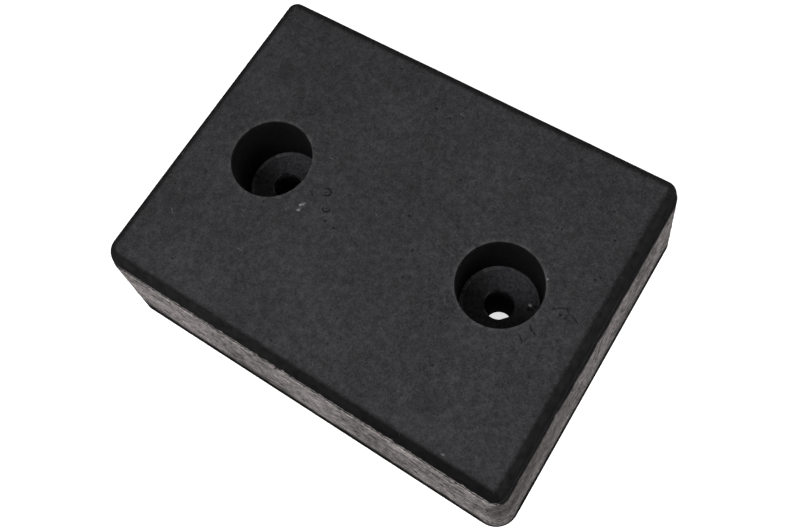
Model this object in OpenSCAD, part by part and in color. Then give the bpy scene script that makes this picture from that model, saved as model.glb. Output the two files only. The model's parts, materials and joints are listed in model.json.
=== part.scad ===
// Moulded rubber dock bumper: a thick rubber block with drafted sides, a rounded
// front edge and two counterbored bolt holes, each with a steel washer at its floor.
// Millimetres. The origin is the centre of the back face, which goes against the
// wall. +X runs along the long side and +Z points out of the front face.

/* [Block] */
// Length of the block, at its back edge
length = 330; // [300:5:400]
// Height of the block on the wall, at its back edge
width = 254; // [200:2:300]
// Thickness from the back face to the front face
thick = 102; // [90:1:120]
// How far each side leans in between the back edge and the parting line
draft = 9.6; // [6:0.2:10.6]
// Radius of the upright corners, at the back edge
corner_r = 20; // [20:1:30]
// Small bevel around the back edge
back_bevel = 1; // [0.5:0.25:2]

/* [Front edge] */
// Rise of the rounded front edge, from the parting line up to the front face
edge_rise = 12; // [8:1:14]
// Run of the rounded front edge, from the parting line in to the front face
edge_run = 6; // [4:0.5:7]
// Step where the two halves of the mould meet
parting_step = 1; // [0.5:0.1:1.5]

/* [Bolt holes] */
// Distance between the two bolt holes
hole_spacing = 178; // [150:1:180]
// How far the pair of holes sits to the right of the block's centre
hole_offset = -2; // [-4:0.5:4]
// Diameter of the bolt hole through the rubber
bolt_d = 20; // [16:0.5:24]
// Diameter of the counterbore that hides the bolt head
counterbore_d = 56; // [54:1:62]
// Depth of the counterbore, from the front face to the washer
counterbore_depth = 46; // [36:1:56]

/* [Washers] */
// Outside diameter of the moulded-in washer
washer_od = 51; // [45:1:53]
// Inside diameter of the moulded-in washer
washer_id = 21; // [18:0.5:26]
// Thickness of the moulded-in washer
washer_t = 4; // [3:0.5:6]

/* [Hidden] */

// Segments of a full circle, and of the quarter curve of the front edge
round_segments = 96;
edge_segments = 8;
// How far a cut runs past the face that it opens
past = 1;

// Centres of the upright corners, the same at every height
core_l = length - 2 * corner_r;
core_w = width - 2 * corner_r;
parting_z = thick - edge_rise;
// Reach of the lower and the upper mould half past the corner centres, at the parting line
lower_reach = corner_r - draft;
upper_reach = lower_reach - parting_step;
floor_z = thick - counterbore_depth;
seat_z = floor_z - washer_t;
left_x = hole_offset - hole_spacing / 2;
right_x = hole_offset + hole_spacing / 2;

// The side of the block, as [reach past the corner centres, height], from back to front
side_profile = concat(
    [[corner_r - back_bevel, 0], [corner_r, back_bevel], [lower_reach, parting_z]],
    [for (i = [0 : edge_segments])
        let (a = 90 * i / edge_segments)
        [upper_reach - edge_run * (1 - cos(a)), parting_z + edge_rise * sin(a)]]
);

// The same side moved out by half the core, to the right and then back down the left
function section(half) = concat(
    [for (p = side_profile) [half + p[0], p[1]]],
    [for (i = [len(side_profile) - 1 : -1 : 0]) [-half - side_profile[i][0], side_profile[i][1]]]
);

// One rounded upright corner: a quarter turn of the side profile
module corner() {
    rotate_extrude(angle = 90, $fn = round_segments)
        polygon(concat([[0, 0]], side_profile, [[0, thick]]));
}

// The drafted block before its holes: two crossing slabs and four corners
module blank() {
    rotate([90, 0, 0])
        linear_extrude(core_w, center = true)
            polygon(section(core_l / 2));
    rotate([90, 0, 90])
        linear_extrude(core_l, center = true)
            polygon(section(core_w / 2));
    translate([core_l / 2, core_w / 2, 0]) corner();
    translate([-core_l / 2, core_w / 2, 0]) rotate([0, 0, 90]) corner();
    translate([-core_l / 2, -core_w / 2, 0]) rotate([0, 0, 180]) corner();
    translate([core_l / 2, -core_w / 2, 0]) rotate([0, 0, 270]) corner();
}

// One hole's space: bolt hole, washer seat and counterbore on one axis
module hole_space(x) {
    translate([x, 0, -past])
        cylinder(d = bolt_d, h = thick, $fn = round_segments);
    translate([x, 0, seat_z])
        cylinder(d = washer_od, h = washer_t, $fn = round_segments);
    translate([x, 0, floor_z])
        cylinder(d = counterbore_d, h = counterbore_depth + past, $fn = round_segments);
}

// The moulded rubber body
module rubber_block() {
    color("#36363a")
        difference() {
            blank();
            hole_space(left_x);
            hole_space(right_x);
        }
}

// A flat steel washer, moulded in flush with the counterbore's floor
module washer(x) {
    color("#7d7f82")
        translate([x, 0, seat_z])
            difference() {
                cylinder(d = washer_od, h = washer_t, $fn = round_segments);
                translate([0, 0, -past])
                    cylinder(d = washer_id, h = washer_t + 2 * past, $fn = round_segments);
            }
}

module washer_left() {
    washer(left_x);
}

module washer_right() {
    washer(right_x);
}

rubber_block();
washer_left();
washer_right();
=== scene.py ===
import json
import math
from functools import partial

import bpy
import numpy as np
from mathutils import Matrix, Vector
from mathutils.geometry import delaunay_2d_cdt


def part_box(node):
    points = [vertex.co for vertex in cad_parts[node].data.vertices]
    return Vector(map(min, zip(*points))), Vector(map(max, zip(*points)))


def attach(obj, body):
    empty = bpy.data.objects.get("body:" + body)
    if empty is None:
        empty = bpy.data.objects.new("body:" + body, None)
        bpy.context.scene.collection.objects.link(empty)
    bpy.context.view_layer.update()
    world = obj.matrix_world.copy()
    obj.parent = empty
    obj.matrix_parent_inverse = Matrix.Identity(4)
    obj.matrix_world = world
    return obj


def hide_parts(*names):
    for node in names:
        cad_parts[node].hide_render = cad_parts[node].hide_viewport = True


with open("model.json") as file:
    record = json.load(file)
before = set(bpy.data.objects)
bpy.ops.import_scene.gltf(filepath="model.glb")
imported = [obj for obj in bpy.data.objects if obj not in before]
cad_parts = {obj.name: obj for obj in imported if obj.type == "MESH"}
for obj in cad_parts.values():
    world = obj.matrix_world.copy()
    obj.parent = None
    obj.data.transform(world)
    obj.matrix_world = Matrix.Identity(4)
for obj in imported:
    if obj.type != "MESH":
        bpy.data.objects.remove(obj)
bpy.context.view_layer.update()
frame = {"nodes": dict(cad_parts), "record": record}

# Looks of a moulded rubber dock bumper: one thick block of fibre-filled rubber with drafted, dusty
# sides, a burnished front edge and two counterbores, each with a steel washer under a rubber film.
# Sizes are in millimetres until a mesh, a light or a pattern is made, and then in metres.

MM = 0.001
RNG = np.random.default_rng(13)

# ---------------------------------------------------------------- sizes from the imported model

BLOCK_LOW, BLOCK_HIGH = (np.array(corner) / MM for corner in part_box("rubber_block"))
WASHER_LOW, WASHER_HIGH = (np.array(corner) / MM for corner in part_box("washer_left"))
MOUNTS = {mount["name"]: mount for mount in frame["record"]["mounts"]}

FRONT_Z = BLOCK_HIGH[2]
FLOOR_Z = WASHER_HIGH[2]
SEAT_Z = WASHER_LOW[2]
WASHER_R = (WASHER_HIGH[0] - WASHER_LOW[0]) / 2
BOLT_R = MOUNTS["bolt_hole_left"]["dims"]["r_mm"]
COUNTERBORE_R = MOUNTS["counterbore_left"]["dims"]["r_mm"]
HOLES = {side: MOUNTS["counterbore_" + side]["pos_m"][0] / MM for side in ("left", "right")}

# ---------------------------------------------------------------- form of the block, as in the CAD

CORNER_R = 20.0
DRAFT = 9.6
EDGE_RISE = 12.0
EDGE_RUN = 6.0
PARTING_STEP = 1.0
BACK_BEVEL = 1.0

CORE_X = BLOCK_HIGH[0] - CORNER_R
CORE_Y = BLOCK_HIGH[1] - CORNER_R
PARTING_Z = FRONT_Z - EDGE_RISE
LOWER_REACH = CORNER_R - DRAFT
UPPER_REACH = LOWER_REACH - PARTING_STEP
FACE_REACH = UPPER_REACH - EDGE_RUN

# The rubber's skin lies this far inside the CAD faces, so that its lumps and fibres stay in the box
SKIN_INSET = 0.3
# Distance between the mesh's columns round the block and between its rows up the sides
COLUMN_STEP = 1.5
ROW_STEP = 1.4
ARC_COLUMNS = 14
EDGE_ROWS = 18
# Spacing of the front face's mesh, away from its marks and close to them, and of the flat back's
FACE_STEP = 2.6
MARK_STEP = 0.48
BACK_STEP = 9.0
HOLE_SEGMENTS = 128
# Slack for telling whether a point lies on a face
TOUCH = 1e-6

# Zones of the skin, kept on each face of the mesh
BACK, SIDE, FRONT, BORE = range(4)


def smooth_step(low, high, value):
    """0 below low, 1 above high and a smooth ramp in between."""
    share = np.clip((value - low) / (high - low), 0.0, 1.0)
    return share * share * (3.0 - 2.0 * share)


def bell(offset, width):
    """1 where the offset is nothing, and fading out on both sides over about twice the width."""
    return np.exp(-(offset / width) ** 2)


def reach_of(x, y):
    """How far a point lies outside the rectangle through the corner centres."""
    return np.hypot(x - np.clip(x, -CORE_X, CORE_X), y - np.clip(y, -CORE_Y, CORE_Y))


def perimeter():
    """Goes once round the block: a point on the rectangle of corner centres and the way out from
    it, for each column of the mesh."""
    starts, outs = [], []
    corners = [(CORE_X, CORE_Y), (-CORE_X, CORE_Y), (-CORE_X, -CORE_Y), (CORE_X, -CORE_Y)]
    for turn, corner in enumerate(corners):
        quarter = math.pi / 2 * turn
        for i in range(ARC_COLUMNS):
            angle = quarter + math.pi / 2 * i / ARC_COLUMNS
            starts.append(corner)
            outs.append((math.cos(angle), math.sin(angle)))
        following = np.array(corners[(turn + 1) % 4])
        count = round(np.linalg.norm(following - corner) / COLUMN_STEP)
        for i in range(count):
            starts.append(tuple(corner + (following - corner) * i / count))
            outs.append((math.cos(quarter + math.pi / 2), math.sin(quarter + math.pi / 2)))
    return np.array(starts), np.array(outs)


def side_profile():
    """The side as (reach, height) rows, from the back face up to the front face."""
    inset = SKIN_INSET
    rows = [(CORNER_R - BACK_BEVEL - inset, 0.0), (CORNER_R - 0.3 - inset, 0.35)]
    rows.append((CORNER_R - inset, BACK_BEVEL))
    count = round((PARTING_Z - 2.0 - BACK_BEVEL) / ROW_STEP)
    for z in np.linspace(BACK_BEVEL, PARTING_Z - 2.0, count + 1)[1:]:
        rows.append((CORNER_R - inset - DRAFT * z / PARTING_Z, z))
    for drop, back in ((1.2, 0.0), (0.6, 0.02), (0.2, 0.1), (0.0, 0.3)):
        rows.append((LOWER_REACH - inset - back + DRAFT * drop / PARTING_Z, PARTING_Z - drop))
    rows.append((UPPER_REACH - inset + 0.2, PARTING_Z - 0.05))
    for i in range(EDGE_ROWS + 1):
        angle = math.pi / 2 * i / EDGE_ROWS
        rows.append((UPPER_REACH - inset - EDGE_RUN * (1 - math.cos(angle)),
                     PARTING_Z + 0.1 + (EDGE_RISE - 0.1 - inset) * math.sin(angle)))
    return rows


def face_rows():
    """Rows of the flat face just inside the rounded edge, where its burnish fades out."""
    return [(FACE_REACH - SKIN_INSET - back, FRONT_Z - SKIN_INSET) for back in (0.6, 1.2, 1.8, 2.4)]


def bore_profile():
    """One hole as (radius, height) rows: the mouth's small lip, the counterbore's slightly tapered
    wall, the film over the washer, the washer's pocket under it and the bolt hole to the back."""
    top = FRONT_Z - SKIN_INSET
    film_top, film_under, pocket_floor = FLOOR_Z + 0.45, FLOOR_Z + 0.03, SEAT_Z - 0.02
    lip, taper, foot = 1.1, 0.6, film_top + 1.0
    rows = []
    for i in range(5):
        angle = math.pi / 2 * i / 4
        rows.append((COUNTERBORE_R + lip - lip * math.sin(angle), top - lip * (1 - math.cos(angle))))
    for share in np.linspace(0.0, 1.0, 15)[1:]:
        rows.append((COUNTERBORE_R - taper * share, top - lip + (foot - top + lip) * share))
    rows += [(COUNTERBORE_R - back, film_top + rise)
             for back, rise in ((0.9, 0.25), (1.2, 0.1), (1.5, 0.02), (1.9, 0.0))]
    # The film's rows lie close over the washer's rim, where it beads, and wider apart inside it
    rows += [(radius, film_top) for radius in np.arange(WASHER_R + 0.4, WASHER_R - 2.0, -0.4)]
    rows += [(radius, film_top) for radius in np.arange(WASHER_R - 2.4, BOLT_R + 2.2, -1.0)]
    rows += [(BOLT_R + 0.95, film_top - 0.08), (BOLT_R + 0.6, film_top - 0.25), (BOLT_R + 0.8, film_under),
             (WASHER_R + 0.05, film_under), (WASHER_R + 0.05, pocket_floor), (BOLT_R + 0.4, pocket_floor)]
    for share in np.linspace(0.0, 1.0, 9):
        rows.append((BOLT_R, SEAT_Z - 0.4 + (0.8 + 0.4 - SEAT_Z) * share))
    rows.append((BOLT_R + 0.8, 0.0))
    return rows


# ---------------------------------------------------------------- marks on the front face, in mm

# Two burst air bubbles: centre, radius, the way the ring's open side faces in degrees, and how much
# of the ring is there, from 0 for half of it to past 1 for nearly all
BUBBLES = [((-43.9, -2.0), 2.9, 200.0, 1.3), ((-37.4, -11.4), 2.7, 95.0, 0.0)]
# Torn flecks with pale fibre showing: centre, half length, half width and direction
TEARS = [((-53.1, -17.5), 2.2, 1.1, 60.0), ((-52.8, -21.6), 1.8, 0.9, 75.0),
         ((110.9, 17.8), 0.6, 0.5, 90.0), ((110.4, -107.0), 1.3, 0.5, 10.0)]
# Cracks in the skin by the right-hand hole, and one by the bubbles, as the points they run through
CRACKS = [[(122.5, 2.6), (126.5, 5.8), (129.7, 7.3), (133.9, 4.6), (137.0, 3.9), (140.6, 1.2)],
          [(115.8, -13.4), (118.0, -15.6), (121.1, -16.8)],
          [(112.3, -21.5), (114.4, -22.6), (116.6, -24.8)],
          [(-53.5, -6.0), (-50.6, -8.8)]]
# Small pits: centre and radius, two at known places and the others scattered
PITS = [((131.7, 1.1), 0.9), ((-33.0, -19.5), 1.2)]
PIT_COUNT = 46
PITS += [((x, y), r) for x, y, r in zip(
    RNG.uniform(-140, 140, PIT_COUNT), RNG.uniform(-104, 104, PIT_COUNT), RNG.uniform(0.5, 1.1, PIT_COUNT))]
# Dark rubbed patches, by the near long edge and by the left-hand end: centre and radius
SMUDGES = [((87.5, -86.0), 13.0), ((-120.0, 60.0), 10.0)]


def distance_to_line(x, y, points):
    """Distance from each (x, y) to a line through the points."""
    nearest = np.full(x.shape, 1e9)
    for (ax, ay), (bx, by) in zip(points, points[1:]):
        run_x, run_y = bx - ax, by - ay
        share = np.clip(((x - ax) * run_x + (y - ay) * run_y) / (run_x ** 2 + run_y ** 2), 0.0, 1.0)
        nearest = np.minimum(nearest, np.hypot(x - ax - share * run_x, y - ay - share * run_y))
    return nearest


def front_marks(x, y):
    """For points of the front face: how deep the marks are, how dark each point is, with painted shade
    in the bubbles' grooves, the cracks and the pits and the dark of tears and rubbed patches, and how
    torn it is.
    """
    depth, crevice_shade_and_marks, torn = np.zeros(x.shape), np.zeros(x.shape), np.zeros(x.shape)
    # The crevice values below are painted shade in the bubbles' grooves, the cracks and the pits
    for (cx, cy), radius, facing, opening in BUBBLES:
        away = np.hypot(x - cx, y - cy)
        turn = np.arctan2(y - cy, x - cx) - math.radians(facing)
        rim = radius * (1.0 + 0.14 * np.sin(2 * turn + 1.0) + 0.07 * np.sin(3 * turn))
        groove = bell(away - rim, 0.55) * smooth_step(-opening, 0.3, np.cos(turn + 3.0))
        fold = bell(y - cy - 0.7 * (x - cx) + 0.4, 0.4) * (away < 0.6 * radius)
        depth += 0.45 * groove + 0.2 * fold - 0.12 * (1.0 - smooth_step(0.3 * radius, radius, away))
        crevice_shade_and_marks = np.maximum(crevice_shade_and_marks, np.maximum(0.95 * groove, 0.85 * fold))
    for (cx, cy), half_l, half_w, way in TEARS:
        c, s = math.cos(math.radians(way)), math.sin(math.radians(way))
        along = ((x - cx) * c + (y - cy) * s) / half_l
        across = ((y - cy) * c - (x - cx) * s) / half_w
        patch = 1.0 - smooth_step(0.7, 1.3, np.hypot(along, across))
        depth += 0.22 * patch
        crevice_shade_and_marks = np.maximum(crevice_shade_and_marks, 0.35 * patch)
        draw = np.random.default_rng(round(half_l * 1000))
        torn = np.maximum(torn, 0.07 * patch)
        for _ in range(9):
            slip, slide = draw.normal(0, 0.6) * half_l, draw.normal(0, 0.4) * half_w
            off = np.hypot(x - cx - slip * c + slide * s, y - cy - slip * s - slide * c)
            fleck = 1.0 - smooth_step(0.3, 1.0, off / (half_w * draw.uniform(0.6, 1.0)))
            torn = np.maximum(torn, draw.uniform(0.1, 0.3) * fleck)
    for points in CRACKS:
        away = distance_to_line(x, y, points)
        broken = np.clip(0.75 + 0.6 * wander(x + 0.8 * y, (3.1, 4.7, 2.2), 49), 0.2, 1.0)
        groove = bell(away, 0.5) * broken
        depth += 0.6 * groove - 0.14 * bell(away - 1.3, 0.6)
        crevice_shade_and_marks = np.maximum(crevice_shade_and_marks, 0.75 * groove)
    for (cx, cy), radius in PITS:
        pit = 1.0 - smooth_step(0.4 * radius, 1.2 * radius, np.hypot(x - cx, y - cy))
        depth += 0.4 * radius * pit
        crevice_shade_and_marks = np.maximum(crevice_shade_and_marks, 0.8 * pit)
    for (cx, cy), radius in SMUDGES:
        patch = 1.0 - smooth_step(0.3, 1.0, np.hypot(x - cx, y - cy) / radius)
        crevice_shade_and_marks = np.maximum(crevice_shade_and_marks, 0.28 * patch)
    return depth, crevice_shade_and_marks, torn


def near_mark(x, y):
    """True where the front face's mesh has to be fine enough for a mark."""
    near = np.zeros(x.shape, bool)
    for (cx, cy), radius, _, _ in BUBBLES:
        near |= np.hypot(x - cx, y - cy) < radius + 2.0
    for (cx, cy), half_l, _, _ in TEARS:
        near |= np.hypot(x - cx, y - cy) < half_l + 1.2
    for points in CRACKS:
        near |= distance_to_line(x, y, points) < 2.2
    for (cx, cy), radius in PITS:
        near |= np.hypot(x - cx, y - cy) < 1.6 * radius
    return near


# ---------------------------------------------------------------- marks on the sides, in mm

# Slots and chips in the near long side: x, height, half length, half height and depth
NEAR_SLOTS = [(127.6, 72.0, 4.2, 3.2, 0.8), (111.8, 70.9, 3.8, 3.2, 0.8), (101.1, 56.0, 3.4, 3.0, 0.7),
              (63.3, 68.4, 4.0, 2.9, 0.6), (121.8, 84.0, 3.0, 2.4, 0.5), (87.8, 74.4, 2.8, 2.2, 0.5),
              (72.0, 48.0, 2.4, 2.0, 0.35), (34.0, 61.0, 2.8, 2.0, 0.3), (124.0, 42.0, 3.2, 2.0, 0.3),
              (139.0, 60.0, 3.0, 2.2, 0.3), (16.0, 76.0, 2.8, 2.0, 0.4), (-96.0, 62.0, 2.4, 1.9, 0.3),
              (-118.0, 71.0, 2.2, 1.8, 0.3)]
# The same in the right-hand side, with y in place of x
RIGHT_SLOTS = [(-50.2, 87.5, 2.6, 3.4, 1.1), (-24.0, 84.0, 4.2, 4.0, 0.8), (3.0, 84.5, 2.4, 3.6, 0.9),
               (62.0, 66.0, 4.4, 2.0, 0.3)]
SLOTS = [((x, -BLOCK_HIGH[1], z), *size) for x, z, *size in NEAR_SLOTS]
SLOTS += [((BLOCK_HIGH[0], y, z), *size) for y, z, *size in RIGHT_SLOTS]
# How many more are scattered over the four sides
SLOT_COUNT = 170


def random_slots():
    """More slots of the same kind, smaller and shallower."""
    slots = []
    for _ in range(SLOT_COUNT):
        along_x = RNG.random() < CORE_X / (CORE_X + CORE_Y)
        side = RNG.choice((-1.0, 1.0))
        run = RNG.uniform(-1.0, 1.0)
        z = RNG.uniform(6.0, PARTING_Z - 5.0)
        place = (side * BLOCK_HIGH[0], run * CORE_Y, z)
        if along_x:
            place = (run * CORE_X, side * BLOCK_HIGH[1], z)
        slots.append((place, RNG.uniform(1.3, 3.8), RNG.uniform(0.9, 1.9), RNG.uniform(0.08, 0.36)))
    return slots


def side_marks(x, y, z):
    """For points of the sides: how deep the slots are there, and how dark."""
    depth, crevice_shade_and_marks = np.zeros(x.shape), np.zeros(x.shape)
    for (sx, sy, sz), half_l, half_h, slot_depth in SLOTS + random_slots():
        on_long_side = abs(sy) > BLOCK_HIGH[1] - 1.0
        run = (x - sx) if on_long_side else (y - sy)
        same_side = (y * sy > 0.5 * sy * sy) if on_long_side else (x * sx > 0.5 * sx * sx)
        away = np.hypot(run / half_l, (z - sz - 0.1 * run - 0.05 * run ** 2 / half_l) / half_h)
        slot = (1.0 - smooth_step(0.65, 1.15, away)) * same_side
        depth += slot_depth * slot
        crevice_shade_and_marks = np.maximum(crevice_shade_and_marks, slot * min(1.0, slot_depth / 0.4))
    return depth, crevice_shade_and_marks


def wander(run, lengths, seed):
    """A ragged line from -1 to 1 along the run: overlapping waves of the given lengths, in mm, or in
    radians round a hole."""
    draw = np.random.default_rng(seed)
    total = np.zeros(run.shape)
    for length in lengths:
        total += np.sin(2 * math.pi * run / length + draw.uniform(0, 2 * math.pi))
    return total / len(lengths)


# ---------------------------------------------------------------- mesh of the rubber body

class Skin:
    """Gathers the points and faces of one closed mesh."""

    def __init__(self):
        self.points, self.faces, self.zones = [], [], []

    def ring(self, points):
        """Adds points and returns their numbers."""
        first = len(self.points)
        self.points.extend(tuple(p) for p in points)
        return np.arange(first, len(self.points))

    def loft(self, rings, zone):
        """Joins each closed ring to the following one with quads."""
        for lower, upper in zip(rings, rings[1:]):
            beside = zip(lower, np.roll(lower, -1), np.roll(upper, -1), upper)
            self.faces += [tuple(corners) for corners in beside]
        self.zones += [zone] * ((len(rings) - 1) * len(rings[0]))

    def fill(self, outline, holes, inner, z, zone, downward=False):
        """Fills a flat outline around its holes with triangles that run through the inner points."""
        loops = [outline] + holes
        numbers = np.concatenate(loops)
        flat = [Vector(self.points[n][:2]) for n in numbers]
        edges, owner, first = [], [], 0
        for which, loop in enumerate(loops):
            around = range(first, first + len(loop))
            edges += list(zip(around, [*around[1:], first]))
            owner += [which] * len(loop)
            first += len(loop)
        owner += [0] * len(inner)
        fresh = self.ring([(x, y, z) for x, y in inner])
        flat += [Vector(p) for p in inner]
        numbers = np.concatenate([numbers, fresh])
        found = delaunay_2d_cdt(flat, edges, [], 0, 1e-7, True)
        same = [old[0] for old in found[3]]
        for triangle in found[2]:
            corner = [same[i] for i in triangle]
            owners = {owner[i] for i in corner}
            # A triangle with all its corners on one hole's rim lies in that hole
            if len(owners) == 1 and owners != {0}:
                continue
            face = tuple(int(numbers[i]) for i in corner)
            self.faces.append(face[::-1] if downward else face)
            self.zones.append(zone)


def hex_grid(step):
    """Points of a triangular grid over a whole face, nudged so that no rows show in the light."""
    rows = np.arange(-BLOCK_HIGH[1], BLOCK_HIGH[1], step * math.sqrt(3) / 2)
    grid = []
    for i, y in enumerate(rows):
        xs = np.arange(-BLOCK_HIGH[0], BLOCK_HIGH[0], step) + step / 2 * (i % 2)
        grid.append(np.stack([xs, np.full(xs.shape, y)], 1))
    grid = np.concatenate(grid)
    return grid + RNG.uniform(-0.12, 0.12, grid.shape) * step


def inside_face(points, reach, hole_r, gap):
    """True where a point keeps the gap from the face's outline and from its holes."""
    over_x, over_y = np.abs(points[:, 0]) - CORE_X, np.abs(points[:, 1]) - CORE_Y
    signed = np.hypot(np.maximum(over_x, 0), np.maximum(over_y, 0))
    signed += np.minimum(np.maximum(over_x, over_y), 0)
    inside = signed < reach - gap
    for x in HOLES.values():
        inside &= np.hypot(points[:, 0] - x, points[:, 1]) > hole_r + gap
    return inside


def body_skin():
    """The whole block as one closed mesh: sides, front face, both holes and the back face."""
    skin = Skin()
    starts, outs = perimeter()
    sides, rims = ([skin.ring(np.column_stack([starts + outs * reach, np.full(len(outs), z)]))
                    for reach, z in rows] for rows in (side_profile(), face_rows()))
    skin.loft(sides, SIDE)
    skin.loft([sides[-1]] + rims, FRONT)

    profile = bore_profile()
    angles = np.linspace(0, 2 * math.pi, HOLE_SEGMENTS, endpoint=False)
    circle = np.stack([np.cos(angles), np.sin(angles)], 1)
    mouths, outlets = [], []
    for x in HOLES.values():
        rings = [skin.ring(np.column_stack([circle * radius + (x, 0.0), np.full(HOLE_SEGMENTS, z)]))
                 for radius, z in profile]
        skin.loft(rings, BORE)
        mouths.append(rings[0])
        outlets.append(rings[-1])

    mouth_r, outlet_r = profile[0][0], profile[-1][0]
    coarse, fine = hex_grid(FACE_STEP), hex_grid(MARK_STEP)
    rim_reach = face_rows()[-1][0]
    coarse = coarse[inside_face(coarse, rim_reach, mouth_r, 0.5 * FACE_STEP) & ~near_mark(*coarse.T)]
    fine = fine[inside_face(fine, rim_reach, mouth_r, 0.4) & near_mark(*fine.T)]
    skin.fill(rims[-1], mouths, np.concatenate([coarse, fine]), FRONT_Z - SKIN_INSET, FRONT)

    back = hex_grid(BACK_STEP)
    back = back[inside_face(back, CORNER_R - BACK_BEVEL - SKIN_INSET, outlet_r, 4.0)]
    skin.fill(sides[0], outlets, back, 0.0, BACK, downward=True)
    return skin


def outline_reach(z):
    """Reach of the block's outline past the corner centres at each height."""
    lower = CORNER_R - DRAFT * z / PARTING_Z
    rise = np.clip((z - PARTING_Z) / EDGE_RISE, 0.0, 1.0)
    return np.where(z <= PARTING_Z, lower, UPPER_REACH - EDGE_RUN * (1 - np.sqrt(1 - rise ** 2)))


def corner_push(x, y, z, reach, outward):
    """How far each point moves out or in so that the corners get their real radii: tighter at the
    back edge, least so on the right-hand near one, and the left-hand near one worn rounder in front."""
    share = np.clip(z / PARTING_Z, 0.0, 1.0)
    change = (share - 1.0) * np.where((x > 0) & (y < 0), 3.0, 7.0) + 4.0 * share * ((x < 0) & (y < 0))
    outline = outline_reach(z)
    radius = np.maximum(outline + change, 1.0)
    wanted = reach - outline
    push = np.zeros(x.shape)
    for _ in range(4):
        over_x = np.abs(x + outward[:, 0] * push) - (CORE_X + outline - radius)
        over_y = np.abs(y + outward[:, 1] * push) - (CORE_Y + outline - radius)
        outside = np.hypot(np.maximum(over_x, 0), np.maximum(over_y, 0))
        push -= outside + np.minimum(np.maximum(over_x, over_y), 0) - radius - wanted
    return push * smooth_step(-outline, -0.35 * outline, wanted) * (reach > 0.0)


def on_right(outward):
    """1 on the right-hand side and fading out round its corners."""
    return smooth_step(0.6, 0.9, outward[:, 0])


def on_near_corner(outward):
    """1 in the middle of the corner between the near and the right-hand side, 0 on both of them."""
    return np.clip(outward[:, 0], 0, 1) * np.clip(-outward[:, 1], 0, 1) * 2.0


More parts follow.
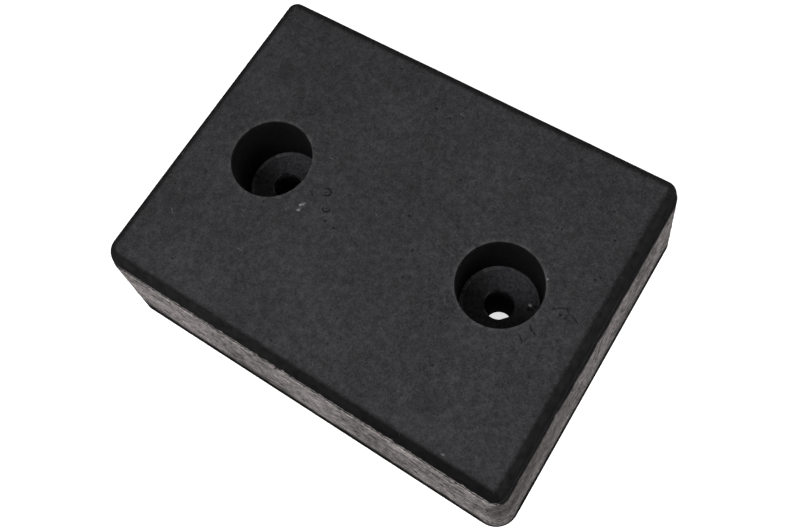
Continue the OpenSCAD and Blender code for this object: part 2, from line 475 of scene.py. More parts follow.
def shape_body(points):
    """Moves the plain block's points into the real one's: ragged parting line, slots, cracks,
    bubbles and worn corners. Returns them with the values that the materials read, from 0 to 1 at
    each point: burnish for rubber burnished by the mould, crevice for painted shade in pits, cracks,
    grooves, chips and down the counterbore's wall, and for dark slots and rubbed patches, torn for
    pale fibre laid open and for painted highlights on the film's beads, film for the skin over a
    washer, pressed for painted contact shadow at the foot and a darker near rounded edge, and bare
    for sides without powder, darker towards the back edge and lowered by a painted highlight on the
    right-hand lip."""
    x, y, z = points.T
    reach = reach_of(x, y)
    core = np.stack([np.clip(x, -CORE_X, CORE_X), np.clip(y, -CORE_Y, CORE_Y)], 1)
    outward = (points[:, :2] - core) / np.maximum(reach, TOUCH)[:, None]
    run = np.where(np.abs(outward[:, 1]) > 0.7, x, y + 400.0) + 97.0 * np.sign(outward.sum(1))
    on_side = (reach > FACE_REACH - SKIN_INSET - 0.01) & (z < FRONT_Z - SKIN_INSET - 0.01) & (z > 0.0)
    on_front = (z > FRONT_Z - SKIN_INSET - TOUCH) & (reach < FACE_REACH - SKIN_INSET + TOUCH)

    depth, crevice_shade_and_marks, torn = front_marks(x, y)
    z_drop = np.where(on_front, depth, 0.0)
    crevice_shade_and_marks, torn = np.where(on_front, crevice_shade_and_marks, 0.0), np.where(on_front, torn, 0.0)

    slot_depth, slot_dark = side_marks(x, y, z)
    below_parting = on_side & (z < PARTING_Z + 0.01)
    push = np.where(below_parting, -slot_depth, 0.0)
    crevice_shade_and_marks = np.where(below_parting, slot_dark, crevice_shade_and_marks)

    # The parting line: its ledge comes and goes, and a groove runs under it along the right-hand side,
    # painted dark as the shadow under the lip
    at_ledge = on_side * bell(z - PARTING_Z, 0.7) * (reach > UPPER_REACH - SKIN_INSET + 0.05)
    push += at_ledge * (0.22 * wander(run, (5.3, 8.9, 3.7), 5) - 0.12)
    lip_zone = on_right(outward) * smooth_step(-116.0, -104.0, y) * (1.0 - smooth_step(24.0, 40.0, y))
    groove = on_side * bell(z - PARTING_Z + 2.0, 0.9) * lip_zone
    push -= 0.55 * groove * (0.75 + 0.25 * wander(run, (13.0, 29.0), 6))
    # The groove is painted dark as the shadow under the lip
    crevice_shade_and_marks = np.maximum(crevice_shade_and_marks, groove)

    # Ribs left by a worn mould at the foot of the corner between the near and the right-hand side
    corner = on_near_corner(outward)
    ribs = corner * on_side * smooth_step(2.0, 6.0, z) * (1.0 - smooth_step(24.0, 32.0, z))
    push += 0.16 * ribs * (np.sin(2 * math.pi * z / 4.2 + 1.5 * corner) - 1.0)

    # Burnish: full on the rounded edge, none on the flat face, full on the counterbore's wall
    edge = smooth_step(FACE_REACH - 3.2, FACE_REACH - 0.2, reach) * (z > PARTING_Z + 0.05)
    hole_away = np.min([np.hypot(x - hx, y) for hx in HOLES.values()], axis=0)
    in_wall = (hole_away < COUNTERBORE_R + 0.6) & (hole_away > WASHER_R) & (z > FLOOR_Z + 0.6)
    burnish = np.maximum(edge, in_wall * 1.0)
    # Painted shade down the counterbore's wall, where little light reaches
    crevice_shade_and_marks = np.maximum(crevice_shade_and_marks, 0.55 * in_wall)
    lip = bell(hole_away - COUNTERBORE_R - 0.8, 0.45) * (z > FRONT_Z - 2.0)
    torn = np.maximum(torn, 0.03 * lip * (1.0 + wander(x + 0.7 * y, (9.0, 5.2, 14.0), 47)))

    push += corner_push(x, y, z, reach, outward)

    moved = points.copy()
    moved[:, :2] += outward * push[:, None]
    moved[:, 2] -= z_drop
    shape_holes(moved, crevice_shade_and_marks, torn)
    film = (hole_away < COUNTERBORE_R - 0.8) & (hole_away > BOLT_R + 0.9) & (z > FLOOR_Z - 0.2)
    # Painted contact shadow: the foot of the sides is made black; the near rounded edge is also darker
    # towards the right
    foot_shadow_and_dark_edge = (1.0 - corner) * (1.0 - smooth_step(10.0, 14.0, z))
    foot_shadow_and_dark_edge += 0.55 * smooth_step(-90.0, 120.0, x) * (outward[:, 1] < -0.5) * smooth_step(88.0, 91.0, z)
    return moved, {"burnish": burnish, "crevice_shade_and_marks": crevice_shade_and_marks, "torn": torn, "film": film * 1.0,
                   "foot_shadow_and_dark_edge": foot_shadow_and_dark_edge, "bare": bare_rubber(x, y, z, run, outward)}


def bare_rubber(x, y, z, run, outward):
    """Where no powder is left on the sides: on the corner, and from the parting line up, where it
    stops in small teeth on three sides and lower down on the right-hand one. The sides also grow
    darker towards the back edge, and a painted highlight lightens a thin line along the right-hand
    side's lip."""
    right, corner = on_right(outward), on_near_corner(outward)
    # Darker towards the back edge, fading in from foot_high down to foot_low
    foot_low = (12.0 + 0.5 * right - 2.0 * smooth_step(60.0, 110.0, x) * (1.0 - right) - 11.0 * corner
                + 1.3 * wander(run, (17.0, 41.0, 9.0), 41))
    foot_high = foot_low + 13.0 - 7.0 * right + 3.0 * wander(run, (26.0, 63.0), 43)
    bare = 1.0 - smooth_step(foot_low, foot_high, z)
    smear = (smooth_step(-78.0, -52.0, x) * (1.0 - smooth_step(-22.0, 10.0, x)) * (outward[:, 1] < -0.7)
             * bell(z - 26.0 - 0.05 * x - 1.5 * wander(run, (19.0, 33.0), 46), 4.5))
    bare = np.maximum(bare, 0.6 * smear)
    dull = 0.3 * smooth_step(30.0, 52.0, z) * right * (1.0 - smooth_step(-45.0, -25.0, y))
    bare = np.maximum(bare, dull)
    bare = np.maximum(bare, 0.45 * corner * smooth_step(30.0, 55.0, z))
    teeth = wander(run, (7.3, 12.9, 4.1), 5) * (0.75 + 0.5 * wander(run, (47.0, 83.0), 45))
    teeth *= 1.0 - (1.0 - smooth_step(-110.0, -92.0, x)) * (1.0 - right)
    lift = 3.6 + 2.4 * teeth
    lower = 5.0 + 3.5 * smooth_step(-45.0, -30.0, y) - 1.0 * wander(run, (31.0, 13.0), 44)
    start = PARTING_Z + lift * (1.0 - right) - lower * right
    soft = 0.7 + 3.6 * right
    bruise = np.exp(-((outward[:, 0] - 0.3) / 0.12) ** 2 - ((z - 72.0) / 9.0) ** 2) * (outward[:, 1] < 0)
    bare = np.maximum(bare, 0.7 * bruise)
    bare = np.maximum(bare, smooth_step(start - soft, start + soft, z))
    # A thin lighter line just above the parting line on the right-hand side: painted highlight on the lip,
    # which lowers bare there
    lip_highlight = right * bell(z - 93.0, 1.0) * (1.0 - smooth_step(24.0, 40.0, y))
    return bare - 0.12 * lip_highlight * (1.0 + 0.6 * wander(run, (11.0, 6.3, 23.0), 48))


# Chips torn out of the film in the right-hand hole, and the pale speck beside them: centre from the
# hole's and radius
CHIPS = [((18.4, 7.4), 1.3), ((21.8, 10.8), 1.0), ((20.6, 7.8), 1.1)]
SPECK = ((18.2, 9.9), 1.1)


def shape_holes(points, crevice_shade_and_marks, torn):
    """Roughens the film over each washer: concentric beads where it runs off the washer's rim, a
    ragged hole, and chips torn out of the right-hand one, with painted shade in them. It also
    paints highlights on the beads at the washer's rim and at the wall's foot, on the side that
    faces the light, through the torn value."""
    for side, hole_x in HOLES.items():
        x, y, z = points[:, 0] - hole_x, points[:, 1], points[:, 2]
        radius, angle = np.hypot(x, y), np.arctan2(y, x)
        film = (radius < COUNTERBORE_R - 0.5) & (z > FLOOR_Z - 0.1) & (z < FLOOR_Z + 1.2)
        upper = film & (z > FLOOR_Z + 0.1)
        bead = bell(radius - WASHER_R + 0.9, 0.5)
        lumps = 0.1 * wander(x + 0.6 * y, (7.1, 4.4, 9.3), 21)
        lumps += 0.1 * wander(y - 0.4 * x, (5.7, 8.3, 3.9), 22)
        height = 0.16 * bead + lumps * (radius < WASHER_R)
        # Painted highlights: the beads at the washer's rim and at the wall's foot are lightened, through
        # torn, on the side that faces the light
        lit = smooth_step(-0.3, 0.6, np.cos(angle - math.radians(205.0)))
        rims = bell(radius - WASHER_R + 0.2, 0.3) + 0.8 * bell(radius - COUNTERBORE_R + 1.2, 0.25)
        rims *= lit * np.clip(0.55 + 0.6 * wander(angle, (0.7, 0.31, 0.19), 51), 0.0, 1.0)
        torn[upper] = np.maximum(torn, 0.4 * rims)[upper]
        chip = np.zeros(radius.shape)
        if side == "right":
            for (cx, cy), size in CHIPS:
                chip = np.maximum(chip, 1.0 - smooth_step(0.5, 1.1, np.hypot(x - cx, y - cy) / size))
            (cx, cy), size = SPECK
            speck = 1.0 - smooth_step(0.3, 1.1, np.hypot(x - cx, y - cy) / size)
            torn[upper] = np.maximum(torn, speck)[upper]
            height += 0.16 * speck
        height -= 0.36 * chip
        points[upper, 2] += height[upper]
        crevice_shade_and_marks[upper] = np.maximum(crevice_shade_and_marks, chip)[upper]
        ragged = film & (radius < BOLT_R + 1.6)
        grow = 1.0 + 0.03 * wander(angle, (2.09, 1.05, 0.63), 31 + len(side))
        points[ragged, 0] = hole_x + (x * grow)[ragged] - 0.3
        points[ragged, 1] = (y * grow)[ragged] - 0.1


def add_object(name, data):
    """Puts a mesh, a curve, a lamp or a camera in the scene as a new object at the origin."""
    thing = bpy.data.objects.new(name, data)
    bpy.context.scene.collection.objects.link(thing)
    return thing


def mesh_object(name, points, faces):
    """A new object at the origin from points in mm."""
    mesh = bpy.data.meshes.new(name)
    mesh.from_pydata((np.asarray(points) * MM).tolist(), [], faces)
    return add_object(name, mesh)


def set_values(mesh, name, values, kind="FLOAT", domain="POINT"):
    """Stores one value for each point or face of a mesh."""
    mesh.attributes.new(name, kind, domain).data.foreach_set("value", np.asarray(values))


# ---------------------------------------------------------------- nodes

def feed(made, inputs):
    """Fills a node's inputs, by name or by number, from values, from sockets or from other nodes,
    which give their first output."""
    for key, value in inputs.items():
        if isinstance(value, bpy.types.Node):
            value = value.outputs[0]
        if isinstance(value, bpy.types.NodeSocket):
            made.id_data.links.new(value, made.inputs[key])
        else:
            made.inputs[key].default_value = value


def node(tree, kind, inputs=None, **settings):
    """Adds a node with its settings and links. A kind without Node in its name is a shader node's,
    and stops are a colour ramp's places and colours."""
    made = tree.nodes.new(kind if "Node" in kind else "ShaderNode" + kind)
    for stop, (place, colour) in enumerate(settings.pop("stops", ())):
        ramp = made.color_ramp.elements
        entry = ramp[stop] if stop < len(ramp) else ramp.new(place)
        entry.position, entry.color = place, paint(colour)
    for name, value in settings.items():
        setattr(made, name, value)
    feed(made, inputs or {})
    return made


def paint(hex_colour):
    """An sRGB hex colour as linear red, green, blue and alpha."""
    parts = [int(hex_colour[i:i + 2], 16) / 255 for i in (1, 3, 5)]
    return (*[c / 12.92 if c <= 0.04045 else ((c + 0.055) / 1.055) ** 2.4 for c in parts], 1.0)


def per_mm(size):
    """Scale of a noise whose features are about this many mm across."""
    return 1.0 / (size * MM)


# Sockets of the Mix node when it mixes colours
MIX_A, MIX_B, MIX_OUT = 6, 7, 2


def new_material(name):
    """A new material, what adds nodes to it, its Principled surface and its object coordinates."""
    material = bpy.data.materials.new(name)
    material.use_nodes = True
    add = partial(node, material.node_tree)
    place = add("TexCoord").outputs["Object"]
    return material, add, material.node_tree.nodes["Principled BSDF"], place


def matted_fibre(add, place, length, width, ways):
    """Short fibre lying flat in the skin: streaks of one length and width in each of the ways, bent
    by up to 4 mm, and the brightest of them at each point."""
    bend = 4.0 * MM
    brightest = None
    for turn, way in enumerate(ways):
        bent = add("TexNoise", {"Vector": place, "Scale": per_mm(9.0 + turn), "Detail": 1.0})
        shift = add("VectorMath", {0: bent.outputs["Color"], 1: (bend, bend, 0.0)}, operation="MULTIPLY")
        moved = add("VectorMath", {0: place, 1: shift})
        turned = add("Mapping", {
            "Vector": moved, "Rotation": (0.0, 0.0, math.radians(way)),
            "Scale": (length * MM, width * MM, width * MM)}, vector_type="TEXTURE")
        streak = add("TexNoise", {"Vector": turned, "Scale": 1.0, "Detail": 1.0, "Roughness": 0.4})
        if brightest is not None:
            streak = add("Math", {0: brightest, 1: streak}, operation="MAXIMUM")
        brightest = streak
    return brightest


def moulded_rubber():
    """Carbon-black rubber filled with chopped tyre fibre, compression-moulded against bare steel. The
    eye sees a matt, nearly black skin with a fine felt-like mottle, darker and smoother where the
    mould's radius and the counterbore's core have burnished it, a greyer crust over the washers,
    painted shade that turns it black in its pits, cracks and grooves and down the counterbore's
    wall, pale where it is torn down to the fibre, and painted highlights on the beads of the film
    over the washers."""
    material, add, surface, place = new_material("compression_moulded_fibre_rubber")
    burnish, film_over, crevice_shade_and_marks, torn = (
        add("Attribute", attribute_name=name).outputs["Fac"]
        for name in ("burnish", "film", "crevice_shade_and_marks", "torn"))
    grain, mottle, cloud, crust = (
        add("TexNoise", {"Vector": place, "Scale": per_mm(size), "Detail": detail, "Roughness": rough})
        for size, detail, rough in ((1.3, 3.0, 0.65), (4.5, 3.0, 0.6), (55.0, 2.0, 0.5), (1.8, 3.0, 0.75)))
    tone = 0.0
    for part, share in ((cloud, 0.3), (mottle, 0.7), (grain, 0.8)):
        tone = add("Math", {0: part, 1: share, 2: tone}, operation="MULTIPLY_ADD")
    tone = add("MapRange", {"Value": tone, "From Min": 0.55, "From Max": 1.25})
    ground = add("ValToRGB", {"Fac": tone}, stops=((0.0, "#131314"), (0.5, "#232324"), (1.0, "#363638")))
    felt = matted_fibre(add, place, 2.8, 0.5, (10.0, 46.0, 82.0, 118.0, 154.0))
    hairs = add("MapRange", {"Value": felt, "From Min": 0.6, "From Max": 0.78, "To Max": 0.55})
    crust = add("MapRange", {"Value": crust, "From Min": 0.3, "From Max": 0.7})
    crusted = add("Math", {0: film_over, 1: crust}, operation="MULTIPLY")
    colour = ground
    # The #060607 over crevice is painted shade in pits, cracks, grooves, chips and down the counterbore's
    # wall, and the dark of rubbed patches; the #b4b4b6 over torn is pale torn fibre and painted highlights on
    # the film's beads
    for cover, tint, blend in ((hairs, "#3a3a3c", "MIX"), (burnish, "#999999", "MULTIPLY"),
                               (crusted, "#47474a", "MIX"), (crevice_shade_and_marks, "#060607", "MIX"),
                               (torn, "#b4b4b6", "MIX")):
        colour = add("Mix", {"Factor": cover, MIX_A: colour, MIX_B: paint(tint)},
                     data_type="RGBA", blend_type=blend).outputs[MIX_OUT]
    lumps = add("Math", {0: grain, 1: hairs}, operation="ADD")
    feed(surface, {
        "Base Color": colour, "Specular IOR Level": 0.03,
        "Roughness": add("MapRange", {"Value": burnish, "To Min": 0.82, "To Max": 0.58}),
        "Normal": add("Bump", {"Height": lumps, "Strength": 0.6, "Distance": 0.12 * MM})})
    return material


def dusty_rubber():
    """The same rubber in the drafted half of the mould, where the release powder stays on it. The
    eye sees a chalky, slightly warm grey film, streaked along the block where it has rubbed thin
    and nicked through here and there, dark in every slot, darker towards the back edge and jet
    black at the foot with painted contact shadow, bare black from the parting line up and darker
    on the near rounded edge towards the right, with a painted shadow in the groove under the lip
    and a painted highlight along the lip on the right-hand side."""
    material, add, surface, place = new_material("powdered_side_rubber")
    bare_zone, crevice_shade_and_marks, foot_shadow_and_dark_edge = (
        add("Attribute", attribute_name=name).outputs["Fac"]
        for name in ("bare", "crevice_shade_and_marks", "foot_shadow_and_dark_edge"))
    streaks, grain = (
        add("TexNoise", {
            "Vector": add("Mapping", {"Vector": place, "Scale": (1 / long, 1 / long, 1 / high)}),
            "Scale": 1.0 / MM, "Detail": detail, "Roughness": 0.6})
        for long, high, detail in ((5.5, 4.2, 4.0), (2.2, 1.3, 3.0)))
    patches = add("TexNoise", {"Vector": place, "Scale": per_mm(38.0), "Detail": 2.0})
    film = streaks
    for part, share in ((grain, 1.3), (patches, 0.6)):
        film = add("Math", {0: part, 1: share, 2: film}, operation="MULTIPLY_ADD")
    thickness = add("MapRange", {"Value": film, "From Min": 1.1, "From Max": 1.8})
    powder = add("ValToRGB", {"Fac": thickness},
                 stops=((0.0, "#272525"), (0.35, "#595555"), (0.6, "#726d6c"), (1.0, "#9b9493")))

    # Where the powder is partly gone, its streaks make the edge ragged
    rubbed = add("Math", {0: bare_zone, 1: crevice_shade_and_marks}, operation="MAXIMUM")
    patchy = add("Math", {0: streaks, 1: 0.5}, operation="SUBTRACT")
    ragged = add("Math", {0: patchy, 1: 0.9, 2: rubbed}, operation="MULTIPLY_ADD")
    partly = add("Math", {0: rubbed, 1: 0.5, 2: 0.46}, operation="COMPARE")
    bare = add("Mix", {"Factor": partly, "A": rubbed, "B": ragged}, data_type="FLOAT")
    nicked = add("Mapping", {"Vector": place, "Scale": (6.5 * MM, 6.5 * MM, 4.0 * MM)}, vector_type="TEXTURE")
    nicks = add("TexNoise", {"Vector": nicked, "Scale": 1.0, "Detail": 2.0, "Roughness": 0.5})
    nicks = add("MapRange", {"Value": nicks, "From Min": 0.62, "From Max": 0.67, "To Max": 0.85})
    bare = add("Math", {0: bare, 1: nicks}, operation="MAXIMUM")

    scuffs = add("MapRange", {"Value": streaks, "From Min": 0.22, "From Max": 0.8})
    black = paint("#060607")
    # The #020202 over pressed is painted contact shadow at the foot, and a darker near rounded edge towards
    # the right
    for cover, tint in ((scuffs, "#19191a"), (foot_shadow_and_dark_edge, "#020202")):
        black = add("Mix", {"Factor": cover, MIX_A: black, MIX_B: paint(tint)},
                    data_type="RGBA").outputs[MIX_OUT]
    worn = add("Mix", {"Factor": bare, MIX_A: powder, MIX_B: black}, data_type="RGBA").outputs[MIX_OUT]
    feed(surface, {
        "Base Color": worn, "Roughness": 0.85, "Specular IOR Level": 0.05,
        "Normal": add("Bump", {"Height": film, "Strength": 0.7, "Distance": 0.25 * MM})})
    return material


def fibre_material():
    """Chopped nylon tyre cord lying in the skin. The eye sees short hairs, most of them nearly as
    dark as the rubber and a few pale."""
    material, add, surface, _ = new_material("chopped_tyre_fibre")
    tone = add("Attribute", attribute_name="fibre_tone").outputs["Fac"]
    colour = add("ValToRGB", {"Fac": tone},
                 stops=((0.0, "#141415"), (0.88, "#28282a"), (0.985, "#333335"), (1.0, "#5c5c5e")))
    feed(surface, {"Base Color": colour, "Roughness": 0.8, "Specular IOR Level": 0.3})
    return material


def flash_material():
    """Flash squeezed out at the parting line and torn off by hand: thin, black, slightly glossy at
    its torn lip."""
    material, add, surface, place = new_material("torn_flash_rubber")
    torn = add("TexNoise", {"Vector": place, "Scale": per_mm(2.0), "Detail": 3.0})
    colour = add("ValToRGB", {"Fac": torn}, stops=((0.35, "#0c0c0d"), (0.7, "#1d1d1f")))
    feed(surface, {"Base Color": colour, "Roughness": 0.7, "Specular IOR Level": 0.05})
    return material


def stained_steel():
    """Pressed mild steel moulded into rubber: dull grey metal with a smoked film of rubber baked on
    to it in blotches, which leaves it half bright and half black."""
    material, add, surface, place = new_material("rubber_stained_washer_steel")
    blotch = add("TexNoise", {"Vector": place, "Scale": per_mm(5.0), "Detail": 4.0})
    scratch = add("Mapping", {"Vector": place, "Scale": (1 / 6.0, 1 / 0.5, 1.0)})
    lines = add("TexNoise", {"Vector": scratch, "Scale": 1.0 / MM, "Detail": 2.0})
    film = add("MapRange", {"Value": blotch, "From Min": 0.42, "From Max": 0.6})
    metal = add("ValToRGB", {"Fac": lines}, stops=((0.3, "#6d6d70"), (0.7, "#98989c")))
    colour = add("Mix", {"Factor": film, MIX_A: metal, MIX_B: paint("#1b1b1d")},
                 data_type="RGBA").outputs[MIX_OUT]
    feed(surface, {
        "Base Color": colour,
        "Metallic": add("Math", {0: 1.0, 1: film}, operation="SUBTRACT"),
        "Roughness": add("MapRange", {"Value": lines, "To Min": 0.4, "To Max": 0.7})})
    return material


# ---------------------------------------------------------------- geometry nodes

def new_tree(name, inputs):
    """A Geometry Nodes tree with named inputs and one geometry output. Returns the tree, what adds
    nodes to it, its inputs by name and its group output node."""
    tree = bpy.data.node_groups.new(name, "GeometryNodeTree")
    for label, kind in [("Geometry", "Geometry"), *inputs]:
        tree.interface.new_socket(label, in_out="INPUT", socket_type="NodeSocket" + kind)
    tree.interface.new_socket("Geometry", in_out="OUTPUT", socket_type="NodeSocketGeometry")
    add = partial(node, tree)
    return tree, add, add("NodeGroupInput").outputs, add("NodeGroupOutput")


def grow(thing, tree, values):
    """Runs a tree on an object with the given input values and leaves the result as a plain mesh."""
    modifier = thing.modifiers.new(tree.name, "NODES")
    modifier.node_group = tree
    for socket in tree.interface.items_tree:
        if socket.in_out == "INPUT" and socket.name in values:
            modifier[socket.identifier] = values[socket.name]
    bpy.context.view_layer.update()
    evaluated = thing.evaluated_get(bpy.context.evaluated_depsgraph_get())
    made = bpy.data.meshes.new_from_object(evaluated)
    thing.modifiers.remove(modifier)
    if thing.type == "MESH":
        thing.data = made
        made.name = thing.name
        return thing
    bpy.data.objects.remove(thing)
    return add_object(tree.name, made)


def skin_tree(face_rubber, side_rubber):
    """Tree that gives the block the slow waves and small lumps of moulded rubber, then its two
    finishes. The back face, which lies flat on a wall, stays flat."""
    tree, add, given, result = new_tree("moulded_skin", [
        (label, "Float") for label in ("Wave height", "Wave size", "Lump height", "Lump size", "Seed")])
    place = add("GeometryNodeInputPosition")
    lift = 0.0
    for height, size in (("Wave height", "Wave size"), ("Lump height", "Lump size")):
        scale = add("Math", {0: 1.0, 1: given[size]}, operation="DIVIDE")
        noise = add("TexNoise", {"Vector": place, "W": given["Seed"], "Scale": scale,
                                 "Detail": 2.0}, noise_dimensions="4D")
        centred = add("Math", {0: noise, 1: 0.5}, operation="SUBTRACT")
        lift = add("Math", {0: centred, 1: given[height], 2: lift}, operation="MULTIPLY_ADD")
    give = add("GeometryNodeInputNamedAttribute", {"Name": "give"}, data_type="FLOAT")
    lift = add("Math", {0: lift, 1: give}, operation="MULTIPLY").outputs[0]
    normal = add("GeometryNodeInputNormal")
    offset = add("VectorMath", {0: normal, "Scale": lift}, operation="SCALE")
    moved = add("GeometryNodeSetPosition", {"Geometry": given["Geometry"], "Offset": offset})
    whole = add("GeometryNodeRealizeInstances", {"Geometry": moved})
    faced = add("GeometryNodeSetMaterial", {"Geometry": whole, "Material": face_rubber})
    zone = add("GeometryNodeInputNamedAttribute", {"Name": "zone"}, data_type="INT")
    is_side = add("FunctionNodeCompare", {2: zone, 3: SIDE}, data_type="INT", operation="EQUAL")
    sided = add("GeometryNodeSetMaterial", {"Geometry": faced, "Selection": is_side,
                                            "Material": side_rubber})
    feed(result, {0: sided})
    return tree


def fibre_tree():
    """Tree that lays chopped fibre on one zone of the skin: bowed hairs of three-sided section, half
    sunk, turned at random or along the block."""
    tree, add, given, result = new_tree("chopped_fibre", [
        ("Zone", "Int"), ("Per square metre", "Float"), ("Length", "Float"), ("Thickness", "Float"),
        ("Spread", "Float"), ("Seed", "Int"), ("Lowest", "Vector"), ("Highest", "Vector"),
        ("Material", "Material")])
    zone = add("GeometryNodeInputNamedAttribute", {"Name": "fibre_zone"}, data_type="INT")
    chosen = add("FunctionNodeCompare", {2: zone, 3: given["Zone"]}, data_type="INT", operation="EQUAL")
    spots = add("GeometryNodeDistributePointsOnFaces", {
        "Mesh": given["Geometry"], "Selection": chosen, "Density": given["Per square metre"],
        "Seed": given["Seed"]})

    # One hair: a shallow bow as long as the fibre, with a three-sided section
    end, bow, start = (add("Math", {0: given["Length"], 1: share}, operation="MULTIPLY")
                       for share in (0.5, 0.14, -0.5))
    spine = add("GeometryNodeCurveQuadraticBezier", {
        "Resolution": 4, "Start": add("CombineXYZ", {"X": start}), "Middle": add("CombineXYZ", {"Y": bow}),
        "End": add("CombineXYZ", {"X": end})})
    section = add("GeometryNodeCurvePrimitiveCircle", {"Resolution": 3, "Radius": given["Thickness"]})
    hair = add("GeometryNodeCurveToMesh", {"Curve": spine, "Profile Curve": section, "Fill Caps": True})

    # Laid flat on the skin and along the block, and then turned by up to the spread
    normal = spots.outputs["Normal"]
    upright = add("FunctionNodeAlignRotationToVector", {"Vector": normal}, axis="Z")
    along = add("VectorMath", {0: (0.0, 0.0, 1.0), 1: normal}, operation="CROSS_PRODUCT")
    lined_up = add("FunctionNodeAlignRotationToVector", {"Rotation": upright, "Vector": along},
                   axis="X", pivot_axis="Z")
    least = add("Math", {0: given["Spread"], 1: -1.0}, operation="MULTIPLY")
    angle = add("FunctionNodeRandomValue", {2: least, 3: given["Spread"], "Seed": given["Seed"]},
                data_type="FLOAT").outputs[1]
    turned = add("FunctionNodeRotateRotation", {
        "Rotation": lined_up, "Rotate By": add("CombineXYZ", {"Z": angle})},
        rotation_space="LOCAL")
    size, tone = (add("FunctionNodeRandomValue", {2: low, 3: high, "Seed": seed},
                      data_type="FLOAT").outputs[1] for low, high, seed in ((0.45, 1.25, 3), (0.0, 1.0, 7)))
    laid = add("GeometryNodeInstanceOnPoints", {
        "Points": spots, "Instance": hair, "Rotation": turned, "Scale": size})
    toned = add("GeometryNodeStoreNamedAttribute", {
        "Geometry": laid, "Name": "fibre_tone", "Value": tone}, data_type="FLOAT", domain="INSTANCE")
    whole = add("GeometryNodeRealizeInstances", {"Geometry": toned})
    place = add("GeometryNodeInputPosition")
    for limit, rule in (("Lowest", "MAXIMUM"), ("Highest", "MINIMUM")):
        place = add("VectorMath", {0: place, 1: given[limit]}, operation=rule)
    kept_in = add("GeometryNodeSetPosition", {"Geometry": whole, "Position": place})
    feed(result, {0: add("GeometryNodeSetMaterial", {"Geometry": kept_in, "Material": given["Material"]})})
    return tree


def flash_tree():
    """Tree that sweeps a thin fin along the parting line, wide and narrow by turns as it was torn."""
    tree, add, given, result = new_tree("parting_flash", [
        ("Fin reach", "Float"), ("Tooth length", "Float"), ("Seed", "Float"), ("Material", "Material")])
    place = add("GeometryNodeInputPosition")
    scale = add("Math", {0: 1.0, 1: given["Tooth length"]}, operation="DIVIDE")
    teeth = add("TexNoise", {"Vector": place, "W": given["Seed"], "Scale": scale,
                             "Detail": 3.0, "Roughness": 0.65}, noise_dimensions="4D")
    torn = add("MapRange", {"Value": teeth, "From Min": 0.35, "From Max": 0.68,
                            "To Min": 0.12, "To Max": 1.0})
    radius = add("Math", {0: torn, 1: given["Fin reach"]}, operation="MULTIPLY")
    # The section of a fin that reaches 1 to each side, before the radius scales it
    section = add("GeometryNodeCurvePrimitiveQuadrilateral", {
        "Width": 2.0, "Height": 0.34}, mode="RECTANGLE")
    fin = add("GeometryNodeCurveToMesh", {"Curve": given["Geometry"], "Profile Curve": section,
                                          "Scale": radius})
    whole = add("GeometryNodeRealizeInstances", {"Geometry": fin})
    feed(result, {0: add("GeometryNodeSetMaterial", {"Geometry": whole, "Material": given["Material"]})})
    return tree


# ---------------------------------------------------------------- pieces

# Waves and lumps of the moulded rubber: height and size, in mm
WAVES = (0.36, 70)
LUMPS = (0.16, 6)
# Edges of the body that turn by more than this many degrees stay sharp
SHARP_EDGE = 38
# Hairs: piece, zone, hairs in a square mm, length in mm and how far they turn from along the block
FIBRES = [("front_face_fibres", FRONT, 0.06, 3.4, math.pi), ("side_fibres", SIDE, 0.02, 5.0, 0.35)]
FIBRE_R = 0.09
# The fin of flash: how far it reaches, the length of its teeth and its height over the parting line
FIN_REACH = 0.6
FIN_TOOTH = 6.0
FIN_LIFT = 0.25


def make_body(face_rubber, side_rubber):
    """The rubber block's visual mesh."""
    skin = body_skin()
    points = np.array(skin.points)
    moved, values = shape_body(points)
    body = mesh_object("moulded_rubber_body", moved, skin.faces)
    reach, z = reach_of(points[:, 0], points[:, 1]), points[:, 2]
    # The waves leave the back face flat and the pockets round the washers clear
    give = smooth_step(0.0, 6.0, z) * (z > 0.0)
    values["give"] = give * ~((z < FLOOR_Z + 0.2) & (reach < 1.0) & (np.abs(points[:, 1]) < COUNTERBORE_R))
    for name, each in values.items():
        set_values(body.data, name, each)
    set_values(body.data, "zone", skin.zones, "INT", "FACE")
    grow(body, skin_tree(face_rubber, side_rubber), {
        "Wave height": WAVES[0] * MM, "Wave size": WAVES[1] * MM, "Lump height": LUMPS[0] * MM,
        "Lump size": LUMPS[1] * MM, "Seed": 4.0})
    body.data.shade_smooth()
    body.data.set_sharp_from_angle(angle=math.radians(SHARP_EDGE))
    return body


def make_fibres(body, material):
    """Hairs on the front face, in every direction, and on the sides, mostly along the block."""
    tree = fibre_tree()
    made = []
    for name, zone, density, length, spread in FIBRES:
        hairs = add_object(name, body.data.copy())
        zones = np.zeros(len(hairs.data.polygons), np.int32)
        hairs.data.attributes["zone"].data.foreach_get("value", zones)
        middles = np.array([face.center.z for face in hairs.data.polygons]) / MM
        zones[(zones == SIDE) & ((middles > PARTING_Z - 3.0) | (middles < 5.0))] = -1
        set_values(hairs.data, "fibre_zone", zones, "INT", "FACE")
        made.append(grow(hairs, tree, {
            "Zone": zone, "Per square metre": density / MM ** 2, "Length": length * MM,
            "Thickness": FIBRE_R * MM, "Spread": spread, "Seed": 5 + zone, "Material": material,
            "Lowest": list((BLOCK_LOW + (0.05, 0.05, 3.0)) * MM),
            "Highest": list((BLOCK_HIGH - 0.05) * MM)}))
    return made


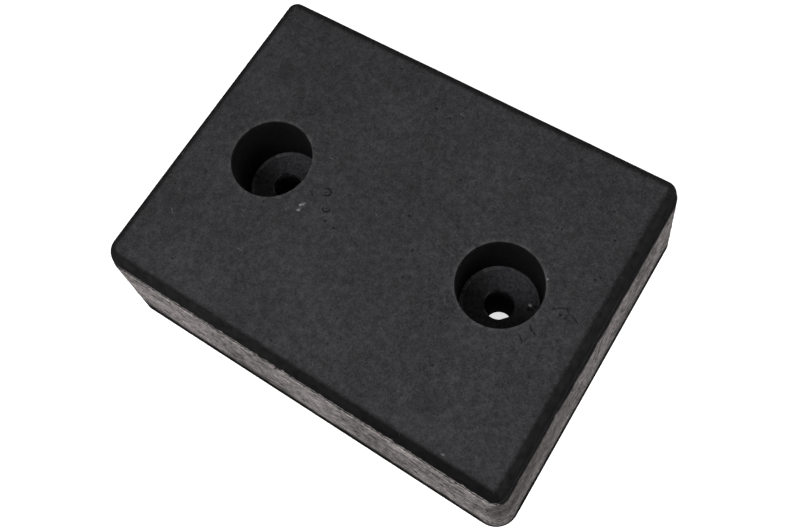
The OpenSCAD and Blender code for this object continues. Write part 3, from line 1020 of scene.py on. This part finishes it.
def make_flash(material):
    """The torn fin of flash that follows the parting line round the block."""
    starts, outs = perimeter()
    line = bpy.data.curves.new("parting_line", "CURVE")
    line.dimensions = "3D"
    spline = line.splines.new("POLY")
    spline.points.add(len(starts) - 1)
    x, y = (starts + outs * (UPPER_REACH - SKIN_INSET)).T
    level = np.full(x.shape, PARTING_Z + FIN_LIFT)
    push = corner_push(x, y, level, reach_of(x, y), outs)
    for point, px, py, pz in zip(spline.points, x + outs[:, 0] * push, y + outs[:, 1] * push, level):
        point.co = (px * MM, py * MM, pz * MM, 1.0)
    spline.use_cyclic_u = True
    flash = grow(add_object("parting_line", line), flash_tree(), {
        "Fin reach": FIN_REACH * MM, "Tooth length": FIN_TOOTH * MM, "Seed": 2.0, "Material": material})
    flash.name = flash.data.name = "parting_line_flash"
    return flash


def paint_washers(steel):
    """Gives the CAD washers their finish."""
    for name in ("washer_left", "washer_right"):
        washer = frame["nodes"][name]
        washer.data.materials.clear()
        washer.data.materials.append(steel)


# ---------------------------------------------------------------- studio

# Where the camera stands and looks, in mm, its roll in degrees and its lens in mm on a 36 mm frame
CAMERA_PLACE = (158.2, -130.8, 575.6)
CAMERA_TARGET = (26.31, -20.75, 102.0)
CAMERA_ROLL = -18.89
CAMERA_LENS = 35.66
# Half the floor's width and how far it lies under the block, in mm
FLOOR_HALF, FLOOR_DROP = 4000, 0.1
# Light that comes through the table's white sheet from below
FLOOR_GLOW = 0.72
WORLD_STRENGTH = 0.36
# Soft boxes: name, place and aim in mm, width and height in mm, power in watts
SOFT_BOXES = [
    ("key", (70, -900, 980), (10, -60, 60), 1000, 700, 20.5),
    ("back", (-200, 1900, 700), (0, 0, 50), 2200, 500, 11.0),
    ("left", (-1300, -1000, 800), (0, -60, 50), 900, 700, 16.0),
    ("right", (1100, 500, 650), (0, 0, 50), 700, 600, 15.0),
]


def make_camera():
    """The camera, level with the world first and then rolled."""
    data = bpy.data.cameras.new("camera")
    data.lens, data.sensor_width = CAMERA_LENS, 36.0
    data.clip_start, data.clip_end = 0.01, 50.0
    camera = add_object("camera", data)
    place, target = Vector(CAMERA_PLACE) * MM, Vector(CAMERA_TARGET) * MM
    level = (target - place).to_track_quat("-Z", "Y").to_matrix().to_4x4()
    roll = Matrix.Rotation(math.radians(CAMERA_ROLL), 4, "Z")
    camera.matrix_world = Matrix.Translation(place) @ level @ roll
    bpy.context.scene.camera = camera


def make_floor():
    """A plain pale floor."""
    corners = ((-1, -1), (1, -1), (1, 1), (-1, 1))
    floor = mesh_object("studio_floor", [(x * FLOOR_HALF, y * FLOOR_HALF, -FLOOR_DROP) for x, y in corners],
                        [(0, 1, 2, 3)])
    material, add, surface, place = new_material("white_paper_sweep")
    tooth = add("TexNoise", {"Vector": place, "Scale": per_mm(300.0), "Detail": 2.0})
    colour = add("ValToRGB", {"Fac": tooth}, stops=((0.0, "#b9b9b9"), (1.0, "#c4c4c4")))
    feed(surface, {"Base Color": colour, "Emission Color": (1.0, 1.0, 1.0, 1.0),
                   "Emission Strength": FLOOR_GLOW, "Roughness": 0.9, "Specular IOR Level": 0.2})
    floor.data.materials.append(material)
    floor.visible_diffuse = floor.visible_glossy = False


def make_lights():
    """Soft boxes round the block and an even pale surround."""
    for name, place, aim, wide, high, power in SOFT_BOXES:
        data = bpy.data.lights.new(name, "AREA")
        data.shape, data.size, data.size_y, data.energy = "RECTANGLE", wide * MM, high * MM, power
        lamp = add_object(name, data)
        lamp.location = Vector(place) * MM
        lamp.rotation_euler = (Vector(aim) - Vector(place)).to_track_quat("-Z", "Y").to_euler()
    world = bpy.data.worlds.new("studio")
    bpy.context.scene.world = world
    world.use_nodes = True
    add = partial(node, world.node_tree)
    way = add("TexCoord").outputs["Generated"]
    height = add("SeparateXYZ", {"Vector": way}).outputs["Z"]
    fade = add("ValToRGB", {"Fac": height}, stops=((0.0, "#8a8a8a"), (0.5, "#ffffff")))
    feed(world.node_tree.nodes["Background"], {"Color": fade, "Strength": WORLD_STRENGTH})


# ---------------------------------------------------------------- put together

face_rubber, side_rubber = moulded_rubber(), dusty_rubber()
body = make_body(face_rubber, side_rubber)
fibres = make_fibres(body, fibre_material())
flash = make_flash(flash_material())
for piece in (body, flash, *fibres):
    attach(piece, "root")
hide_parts("rubber_block")
paint_washers(stained_steel())

make_floor()
make_camera()
make_lights()
bpy.context.scene.view_settings.view_transform = "Standard"
